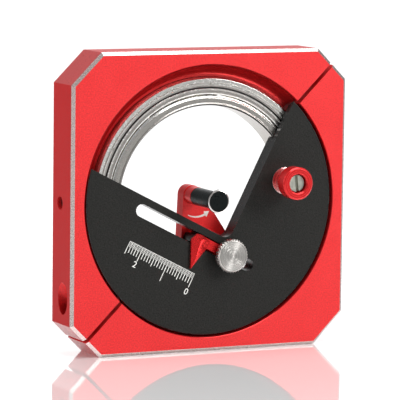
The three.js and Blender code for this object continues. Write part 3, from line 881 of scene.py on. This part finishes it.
def shield(name, face, inward):
    """Pressed cover ring: notched rim, rolled groove, flat web and a turned-in lip."""
    section = (
        (33.5, 0.5), (33.55, 0.3), (33.95, 0.25), (34.0, 0.4), (34.8, 0.4), (34.85, 0.15),
        (35.35, 0.15), (35.4, 0.65), (35.8, 0.65), (35.9, 0.2), (36.35, 0.2), (36.4, 0.02),
        (SHIELD_RIM_R, 0.02), (SHIELD_RIM_R, 0.9), (35.6, 0.9), (33.5, 0.75),
    )
    profile = [(radius, face + inward * depth) for radius, depth in section]
    ring = turned(name + "_look", profile, sizes().sides, hollow=True)
    for i in range(SHIELD_NOTCHES):
        angle = 2 * pi * (i + FIRST_NOTCH) / SHIELD_NOTCHES
        low = (SHIELD_RIM_R - 0.55, face - 0.8, -NOTCH_HALF)
        notch = block("notch", low, (SHIELD_RIM_R + 1, face + 0.8, NOTCH_HALF))
        cut(ring, place(notch, about("Y", -angle)))
    soften(ring, 0.03, 1)
    paint(ring, "ground_steel", "pressed_steel_and_shade", "dark_steel_and_shade")
    # The web and step take the darker steel: painted shade on one pressed ring.
    assign(ring, 1, on_shield_web)
    # The rolled groove takes the near-black steel: painted shade.
    assign(ring, 2, on_shield_groove)
    settle(ring, "housing", "shield_steel", name)


def on_shield_web(centre, normal):
    return any(low < reach(centre) < high for low, high in (SHIELD_WEB, SHIELD_STEP))


def on_shield_groove(centre, normal):
    low, high = SHIELD_GROOVE
    return low < reach(centre) < high


def ball_set():
    wall, width = CAGE_HALF_WALL, CAGE_HALF_WIDTH
    section = [
        (PITCH_R - wall, RACE_MIDDLE - width), (PITCH_R + wall, RACE_MIDDLE - width),
        (PITCH_R + wall, RACE_MIDDLE + width), (PITCH_R - wall, RACE_MIDDLE + width),
    ]
    ring = turned("cage_look", section, sizes().sides, hollow=True)
    for i in range(BALLS):
        spin = about("Y", 2 * pi * i / BALLS)
        pocket = rod("pocket", BALL_R + 0.15, -3, 3, 32)
        there = shift(PITCH_R, RACE_MIDDLE, 0)
        cut(ring, place(pocket, spin @ there @ about("Z", pi / 2)))
    soften(ring, 0.05, 1)
    dress(ring, "cage_brass", "ball_set", "cage_brass", "bearing_cage")
    for i in range(BALLS):
        deselect()
        angle = 2 * pi * i / BALLS
        centre = (PITCH_R * cos(angle), RACE_MIDDLE, -PITCH_R * sin(angle))
        bpy.ops.mesh.primitive_ico_sphere_add(subdivisions=4, radius=BALL_R, location=centre)
        ball = named(f"ball_{i + 1:02d}_look")
        bpy.ops.object.shade_smooth()
        node = f"bearing_ball_{i + 1:02d}"
        dress(ball, "polished_ball", "ball_set", "ball_steel", node)


# ---- rotor ----
def rotor_plate():
    section = [
        (ROTOR_R - 0.3, ROTOR_FRONT), (ROTOR_R, ROTOR_FRONT + 0.25),
        (DISC_BACK_R, DISC_BACK), (SHOULDER_R, DISC_BACK), (SHOULDER_R, SHOULDER_DEPTH),
        (HUB_R, SHOULDER_DEPTH), (HUB_R, HUB_BACK),
    ]
    plate = turned("rotor_plate_look", section, sizes().sides)
    corner_x = WINDOW_X - WINDOW_CORNER_R
    corner_z = WINDOW_Z + WINDOW_CORNER_R
    spots = [(x, z) for x in (-FAR, corner_x) for z in (corner_z, FAR)]
    window_rounds = [(x, z, WINDOW_CORNER_R) for x, z in spots]
    window = hull("window", window_rounds, -2, HUB_BACK + 2)
    slot_rounds = [(x, STUD[1], SLOT_HALF) for x in (SLOT_LEFT, SLOT_RIGHT)]
    slot = hull("slot", slot_rounds, -2, HUB_BACK + 2)
    hole = moved(rod("screw_hole", SCREW_HOLE_R, -2, HUB_BACK + 2), CRANK)
    cut(plate, window, slot, hole)
    soften(plate, sizes().edge_break / MM)
    paint(plate, "blasted_black", "machined_black")
    assign(plate, 1, lambda centre, normal: abs(normal.y) < 0.8 and centre.y > ROTOR_FRONT)
    settle(plate, "rotor", "blasted_black", "rotor_plate")


def ink_bar(start, end, width, face, layer=1.0):
    """One printed line between two (x, z) points on a face at that depth. Lines that cross
    are given different layers, so that no two lie in one plane."""
    length = dist(start, end)
    height = layer * sizes().print_height / MM
    bar = block("ink_bar", (0, face - height, -width / 2), (length, face + height, width / 2))
    angle = atan2(end[1] - start[1], end[0] - start[0])
    there = shift(start[0], 0, start[1])
    return place(bar, there @ about("Y", -angle))


def ink_figure(text, x, z, height, face):
    """A printed numeral of that height, centred on a point."""
    deselect()
    bpy.ops.object.text_add()
    figure = bpy.context.object
    figure.data.body = text
    figure.data.size = height * TYPE_SIZE
    figure.data.align_x = "CENTER"
    figure.data.align_y = "CENTER"
    figure.data.extrude = sizes().print_height / MM
    bpy.ops.object.convert(target="MESH")
    figure = bpy.context.object
    upright = shift(x, face, z) @ about("X", pi / 2)
    return place(figure, upright)


def scale_print():
    """Twenty-five one-millimetre divisions under a band of slanting guide lines."""
    thick = sizes().line_width / MM
    thin = thick / 2
    zero, divisions, figure = 5.75, 25, 2.0
    top, band, short, long = -22.6, -24.4, -26.2, -26.8
    lean, upright, slanting, level = 4.2, 1.0, 1.15, 1.3
    feet = {0: -27.3, 10: -29.6, 20: -27.4}
    last = zero - divisions
    slope = (band - top) / lean
    parts = []

    def line(start, end, width, layer):
        parts.append(ink_bar(start, end, width, ROTOR_FRONT, layer))

    line((last, top), (zero, top), thin, level)
    for number in range(divisions + 1):
        x = zero - number
        foot = feet.get(number, short if number % 5 else long)
        run = min(lean, number)
        line((x, band), (x, foot), thick, upright)
        line((x, top), (x, band), thin, upright)
        if run:
            line((x, top), (x + run, top + slope * run), thin, slanting)
        if x < last + lean:
            line((last, top + slope * (last + lean - x)), (x, band), thin, slanting)
    for text, x, z in (("0", zero - 0.1, -28.9), ("2", zero - 20.2, -28.6)):
        parts.append(ink_figure(text, x, z, figure, ROTOR_FRONT))
    dress(merge("scale_print", parts), "white_ink", "rotor", "blasted_black")


def crank():
    """The red post, its screw sunk in the head, and the washer it turns on."""
    front, back = depths("crank_post")
    head = half_width("crank_post")
    neck, hole, recess = 3.6, SCREW_HOLE_R, 2.95
    floor, flange = front + 3.0, front + 4.2
    screw_front, screw_back, screw_r, thread_r = front + 1.4, 5.6, 2.6, 1.6
    slot_half, slot_depth, slot_turn = 0.5, 1.0, -0.6
    section = [
        (hole, back), (neck, back), (neck, back - 0.8), (neck + 0.1, back - 1.6),
        (neck + 0.35, flange + 2.8), (neck + 0.75, flange + 1.6),
        (head - 0.35, flange + 0.6), (head, flange), (head, front + 0.45),
        (head - 0.45, front), (recess + 0.35, front), (recess, front + 0.35),
        (recess, floor), (hole, floor),
    ]
    post = turned("crank_post_look", section, 96, hollow=True)
    section = [
        (screw_r, screw_front), (screw_r, floor - CLEARANCE),
        (thread_r, floor - CLEARANCE), (thread_r, screw_back),
    ]
    screw = turned("crank_screw_look", section, 64)
    low, high = (-slot_half, front, -4), (slot_half, screw_front + slot_depth, 4)
    cut(screw, place(block("driver_slot", low, high), about("Y", slot_turn)))
    front, back = depths("crank_washer")
    rim = half_width("crank_washer")
    section = [(hole, front), (rim, front), (rim, back), (hole, back)]
    washer = turned("crank_washer_look", section, 96, hollow=True)
    for piece in (post, screw, washer):
        moved(soften(piece, 0.1), CRANK)
    dress(post, "crank_red", "crank", "red_anodised", "crank_post")
    dress(screw, "satin_steel", "rotor", "satin_screw_steel", "crank_screw")
    dress(washer, "bright_steel", "rotor", "bright_steel", "crank_washer")


# ---- carriage ----
def carriage():
    arm = hull("carriage_look", ARM_ROUNDS, ARM_FRONT, ARM_BACK)
    pad_rounds = [(x, z, PAD_CORNER_R) for x, z in PAD_CORNERS]
    pad = hull("pad", pad_rounds, PAD_FRONT, ARM_FRONT + 1, 24)
    boss = moved(rod("boss", 2.9, 4.4, ARM_FRONT + 1, 64), BLADE)
    join(arm, pad, boss)
    holes = [moved(rod("bore", 2.0, 0, 20), BLADE)]
    holes += [moved(rod("pin_hole", 1.95, 0, 11.5), (x, z)) for x, z in PINS.values()]
    holes.append(moved(rod("stud_hole", STUD_HOLE_R, 0, 11.5), STUD))
    cut(arm, *holes)
    soften(arm, 0.18)
    dress(arm, "carriage_red", "carriage", "red_anodised", "blade_carriage")


def arrow_print():
    """White arrow beside the blade holder that shows which way the blade is turned."""
    centre, radius, steps = (-1.0, 0.2), 6.5, 14
    start, end, tip = radians(-90), radians(-35), radians(-22)
    tail_width, swell, head_half, head_corner = 0.25, 0.5, 0.85, 0.12
    height = sizes().print_height / MM

    def on_arc(angle, out=0.0):
        far = radius + out
        return centre[0] + far * cos(angle), centre[1] + far * sin(angle)

    points = [on_arc(start + (end - start) * i / steps) for i in range(steps + 1)]
    parts = []
    for i in range(steps):
        width = tail_width + swell * i / steps
        parts.append(ink_bar(points[i], points[i + 1], width, ARM_FRONT))
    corners = [on_arc(tip), on_arc(end, -head_half), on_arc(end, head_half)]
    rounds = [(x, z, head_corner) for x, z in corners]
    parts.append(hull("head", rounds, ARM_FRONT - height, ARM_FRONT + height, 12))
    dress(merge("turning_arrow", parts), "white_ink", "carriage", "red_anodised")


def pointer():
    """A ridged spearhead hulled round its corners, with the bar and eye that hold it."""
    base = [(-0.7, -13.4), (3.4, -21.8), (5.7, -12.8), (5.2, -11.1), (2.2, -10.7), (0.4, -11.0)]
    back, skirt, top = 0.4, -0.35, -1.9
    spots = [(x, back, z) for x, z in base] + [(x, skirt, z) for x, z in base]
    spots += [(2.3, top, -11.9), (1.9, top, -12.6), (3.1, -1.1, -18.6)]
    deselect()
    bpy.ops.mesh.primitive_cube_add(size=0.2)
    spear = named("scale_pointer_look")
    open_edit("VERT")
    bpy.ops.mesh.merge(type="CENTER")
    for i, spot in enumerate(spots):
        previous = spots[i - 1] if i else (0, 0, 0)
        step = [b - a for a, b in zip(previous, spot)]
        bpy.ops.mesh.extrude_region_move(TRANSFORM_OT_translate={"value": step})
    bpy.ops.object.mode_set(mode="OBJECT")
    for vertex in spear.data.vertices:
        vertex.select = vertex.co.length < HAIR
    bpy.ops.object.mode_set(mode="EDIT")
    bpy.ops.mesh.delete(type="VERT")
    bpy.ops.mesh.select_all(action="SELECT")
    bpy.ops.mesh.convex_hull()
    close_edit()
    bar_start, bar_front, bar_half, eye_r = 3, -0.5, 1.5, 3.0
    x, z = STUD
    bar = block("bar", (bar_start, bar_front, z - bar_half), (x, back, z + bar_half))
    join(spear, bar, moved(rod("eye", eye_r, bar_front, back), STUD))
    cut(spear, moved(rod("stud_hole", STUD_HOLE_R, -5, 5), STUD))
    soften(spear, 0.07, 2, 12)
    dress(spear, "pointer_red", "carriage", "red_anodised", "scale_pointer")


def pins_and_stud():
    for name, (x, z) in PINS.items():
        front, back = depths(name)
        pin = moved(soften(rod(name + "_look", 1.85, front, back), 0.2), (x, z))
        dress(pin, "dark_steel_and_shade", "carriage", "dark_screw_steel", name)
    front, back = depths("clamp_stud")
    stud = moved(soften(rod("clamp_stud_look", 1.45, front, back), 0.2), STUD)
    dress(stud, "bright_steel", "carriage", "bright_steel", "clamp_stud")


def nut_and_washer():
    hole, washer_r, rim = STUD_HOLE_R, 3.6, 5.35
    front, back = depths("nut_washer")
    section = [(hole, front), (washer_r, front), (washer_r, back), (hole, back)]
    washer = turned("nut_washer_look", section, 64, hollow=True)
    moved(soften(washer, 0.08), STUD)
    dress(washer, "bright_steel", "clamp_washer", "bright_steel", "nut_washer")
    front, back = depths("thumb_nut")
    section = [
        (hole, front + 0.7), (hole, back), (rim - 0.5, back), (rim, back - 0.35),
        (rim, front + 0.45), (rim - 0.15, front + 0.3), (rim - 0.55, front + 0.02),
        (rim - 0.7, front),
    ]
    nut = turned("thumb_nut_look", section, NUT_TEETH * 6)
    knurl(nut, rim)
    moved(soften(nut, angle=25.0), STUD)
    dress(nut, "turned_steel", "clamp_nut", "bright_steel", "thumb_nut")


def knurl(nut, rim):
    """Pushes the rim in between the teeth of a straight knurl."""
    for vertex in nut.data.vertices:
        radius = reach(vertex.co)
        if radius < rim - 0.2:
            continue
        angle = atan2(vertex.co.z, vertex.co.x)
        valley = 0.5 - 0.5 * cos(NUT_TEETH * angle)
        factor = (radius - TOOTH_DEPTH * valley**0.6) / radius
        vertex.co.x *= factor
        vertex.co.z *= factor


# ---- blade holder ----
def blade_holder():
    """The fixed barrel, and the cap, stem and blade that press in against the spring."""

    def put(obj, material, body, slot, node):
        dress(moved(obj, BLADE), material, body, slot, node)

    front, back = depths("blade_barrel")
    outer = half_width("blade_barrel")
    foot, spigot, bore, guide, seat = 4.3, 1.9, 1.55, 1.15, 11.5
    section = [
        (bore, front), (outer, front), (outer, foot), (spigot, foot), (spigot, back),
        (guide, back), (guide, seat), (bore, seat),
    ]
    barrel = turned("blade_barrel_look", section, 96, hollow=True)
    put(soften(barrel, 0.15), "holder_black", "carriage", "holder_black", "blade_barrel")

    front, back = depths("press_cap")
    rim = half_width("press_cap")
    stem_r, collar_r, collar_front, collar_back = 0.85, 1.4, 2.6, 3.6
    section = [
        (rim - 0.5, front), (rim - 0.1, front + 0.2), (rim, front + 0.5),
        (rim - 0.5, front + 1.1), (stem_r + CLEARANCE, front + 1.1),
    ]
    cap = turned("press_cap_look", section, 96)
    paint(soften(cap, 0.05), "holder_black", "bright_steel")
    # The black cap's front chamfer takes bright steel: a painted highlight on its rim.
    assign(cap, 1, lambda centre, normal: centre.y < front + 0.2 and -0.97 < normal.y < -0.3)
    moved(cap, BLADE)
    settle(cap, "plunger", "holder_black", "press_cap")

    front, back = depths("plunger_stem")
    section = [
        (stem_r, front), (stem_r, collar_front), (collar_r, collar_front),
        (collar_r, collar_back), (stem_r, collar_back), (stem_r, back),
    ]
    stem = turned("plunger_stem_look", section, 48)
    cut(stem, block("cleft", (-2, 8.9, -0.28), (2, 14, 0.28)))
    put(soften(stem, 0.05), "bright_steel", "plunger", "bright_steel", "plunger_stem")

    top, tip = depths("cutting_blade")
    half, thick, edge_length, edge_angle = 0.8, 0.225, 2.2, radians(-57)
    edge = block("cutting_blade_look", (-half, top, -thick), (half, tip, thick))
    there = shift(half, tip - edge_length, 0)
    slant = block("slant", (0, 0, -2), (6, 6, 2))
    cut(edge, place(slant, there @ about("Z", edge_angle)))
    put(soften(edge, 0.03, 1), "blade_steel", "plunger", "blade_steel", "cutting_blade")

    put(return_spring(), "bright_steel", "carriage", "bright_steel", "return_spring")


def return_spring():
    """A small ring of wire swept up a helix by the screw modifier, as short as when the cap
    is pressed, so that the stem's collar has room to move."""
    front, back = depths("return_spring")
    front += JOINTS["plunger_press"]["range_m"][1] / MM
    wire, coil, turns = 0.17, 1.25, 6
    deselect()
    bpy.ops.mesh.primitive_circle_add(vertices=10, radius=wire, location=(coil, 0, 0))
    spring = named("return_spring_look")
    apply_place(spring)
    pitch = (back - front - 2 * wire) / turns
    modify(
        spring, "SCREW", axis="Z", angle=2 * pi, screw_offset=pitch, iterations=turns,
        steps=32, render_steps=32, use_merge_vertices=True,
    )
    open_edit()
    bpy.ops.mesh.fill_holes(sides=0)
    close_edit()
    bpy.ops.object.shade_smooth_by_angle(angle=radians(50))
    onto = shift(0, front + wire, 0) @ about("X", -pi / 2)
    return place(spring, onto)


# ---- stage ----
CAMERA_AZIMUTH = radians(25.52)
CAMERA_ELEVATION = radians(6.62)
CAMERA_ROLL = radians(0.71)
CAMERA_DISTANCE = 0.982
CAMERA_AIM = Vector((-0.0038, FRONT_Y, AXIS_Z + 0.0006))
LENS = 281.8
TENT_DIM = 0.32
TENT_BRIGHT = 1.2
CARD_TOWARD = Vector((0.43, 0.9, 0.1))
CARD_RANGE = (0.9, 0.96, TENT_DIM, TENT_BRIGHT)


def soft_light(name, place_at, aim, size, power):
    bpy.ops.object.light_add(type="AREA", location=place_at)
    lamp = named(name)
    lamp.data.shape = "RECTANGLE"
    lamp.data.size, lamp.data.size_y = size
    lamp.data.energy = power
    toward = Vector(aim) - Vector(place_at)
    lamp.rotation_euler = toward.to_track_quat("-Z", "Y").to_euler()


def light_tent(tree):
    """A surround that is white to the eye, dim to the tool, and has a bright card behind it."""
    add, link = tree.nodes.new, tree.links.new
    sky = tree.nodes["Background"]
    sky.inputs["Color"].default_value = (1, 1, 1, 1)
    toward = add("ShaderNodeVectorMath")
    toward.operation = "DOT_PRODUCT"
    toward.inputs[1].default_value = CARD_TOWARD.normalized()
    link(add("ShaderNodeTexCoord").outputs["Generated"], toward.inputs[0])
    card = add("ShaderNodeMapRange")
    for key, value in zip(RAMP_KEYS, CARD_RANGE):
        card.inputs[key].default_value = value
    link(toward.outputs["Value"], card.inputs["Value"])
    seen = add("ShaderNodeMath")
    seen.operation = "MAXIMUM"
    link(card.outputs["Result"], seen.inputs[0])
    link(add("ShaderNodeLightPath").outputs["Is Camera Ray"], seen.inputs[1])
    link(seen.outputs["Value"], sky.inputs["Strength"])


def stage():
    scene = bpy.context.scene
    scene.view_settings.view_transform = "Standard"
    deselect()
    bpy.ops.mesh.primitive_plane_add(size=6, location=(0, 0, 0))
    floor = named("floor")
    paint(floor, "pale_floor")
    world = bpy.data.worlds.new("studio")
    scene.world = world
    world.use_nodes = True
    light_tent(world.node_tree)
    aim = (0, 0, AXIS_Z)
    soft_light("key", (0.75, -0.75, 0.6), aim, (0.4, 0.6), 12)
    soft_light("overhead", (0.1, -0.2, 1.2), aim, (0.9, 0.9), 14)
    soft_light("side", (-1.0, 0.0, 0.5), aim, (0.3, 0.7), 8)
    bpy.ops.object.camera_add()
    camera = named("camera")
    level = cos(CAMERA_ELEVATION)
    across, ahead = sin(CAMERA_AZIMUTH) * level, cos(CAMERA_AZIMUTH) * level
    forward = Vector((across, ahead, -sin(CAMERA_ELEVATION)))
    camera.location = CAMERA_AIM - forward * CAMERA_DISTANCE
    turn = forward.to_track_quat("-Z", "Y").to_matrix().to_4x4()
    camera.rotation_euler = (turn @ about("Z", CAMERA_ROLL)).to_euler()
    camera.data.lens = LENS
    camera.data.sensor_width = 36
    camera.data.clip_start = 0.01
    camera.data.clip_end = 20
    scene.camera = camera


# ---- operators ----
class AddHousing(Operator):
    """Build the two housing halves and their screws"""

    bl_idname = "cutter.add_housing"
    bl_label = "Housing"

    def execute(self, context):
        housing()
        screws()
        return {"FINISHED"}


class AddBearing(Operator):
    """Build the ball bearing: races, shields, cage and balls"""

    bl_idname = "cutter.add_bearing"
    bl_label = "Bearing"

    def execute(self, context):
        races()
        shield("bearing_shield_front", RACE_FRONT + 0.08, 1)
        shield("bearing_shield_rear", RACE_BACK - 0.08, -1)
        ball_set()
        return {"FINISHED"}


class AddRotor(Operator):
    """Build the rotor plate and its printed scale"""

    bl_idname = "cutter.add_rotor"
    bl_label = "Rotor"

    def execute(self, context):
        rotor_plate()
        scale_print()
        return {"FINISHED"}


class AddCrank(Operator):
    """Build the crank post with its screw and washer"""

    bl_idname = "cutter.add_crank"
    bl_label = "Crank"

    def execute(self, context):
        crank()
        return {"FINISHED"}


class AddCarriage(Operator):
    """Build the sliding carriage with its pointer, pins and stud"""

    bl_idname = "cutter.add_carriage"
    bl_label = "Carriage"

    def execute(self, context):
        carriage()
        arrow_print()
        pointer()
        pins_and_stud()
        return {"FINISHED"}


class AddNut(Operator):
    """Build the knurled thumb nut and its washer"""

    bl_idname = "cutter.add_nut"
    bl_label = "Thumb Nut"

    def execute(self, context):
        nut_and_washer()
        return {"FINISHED"}


class AddBladeHolder(Operator):
    """Build the blade holder: barrel, cap, stem, spring and blade"""

    bl_idname = "cutter.add_blade_holder"
    bl_label = "Blade Holder"

    def execute(self, context):
        blade_holder()
        return {"FINISHED"}


class AddStage(Operator):
    """Build the floor, the lights and the camera"""

    bl_idname = "cutter.add_stage"
    bl_label = "Stage"

    def execute(self, context):
        stage()
        return {"FINISHED"}


OPERATORS = (
    AddHousing, AddBearing, AddRotor, AddCrank, AddCarriage, AddNut, AddBladeHolder, AddStage,
)


class CutterPanel(Panel):
    bl_idname = "VIEW3D_PT_circle_cutter"
    bl_label = "Circle Cutter"
    bl_space_type = "VIEW_3D"
    bl_region_type = "UI"
    bl_category = "Circle Cutter"

    def draw(self, context):
        column = self.layout.column()
        for group in (context.scene.cutter_sizes, context.scene.cutter_looks):
            for key in group.__annotations__:
                column.prop(group, key)
        for operator in OPERATORS:
            column.operator(operator.bl_idname)


CLASSES = (CutterSizes, CutterLooks, *OPERATORS, CutterPanel)


def register():
    for item in CLASSES:
        bpy.utils.register_class(item)
    bpy.types.Scene.cutter_sizes = PointerProperty(type=CutterSizes)
    bpy.types.Scene.cutter_looks = PointerProperty(type=CutterLooks)


def unregister():
    del bpy.types.Scene.cutter_looks
    del bpy.types.Scene.cutter_sizes
    for item in reversed(CLASSES):
        bpy.utils.unregister_class(item)


def main():
    register()
    bpy.ops.cutter.add_housing()
    bpy.ops.cutter.add_bearing()
    bpy.ops.cutter.add_rotor()
    bpy.ops.cutter.add_crank()
    bpy.ops.cutter.add_carriage()
    bpy.ops.cutter.add_nut()
    bpy.ops.cutter.add_blade_holder()
    bpy.ops.cutter.add_stage()


if __name__ == "__main__":
    main()
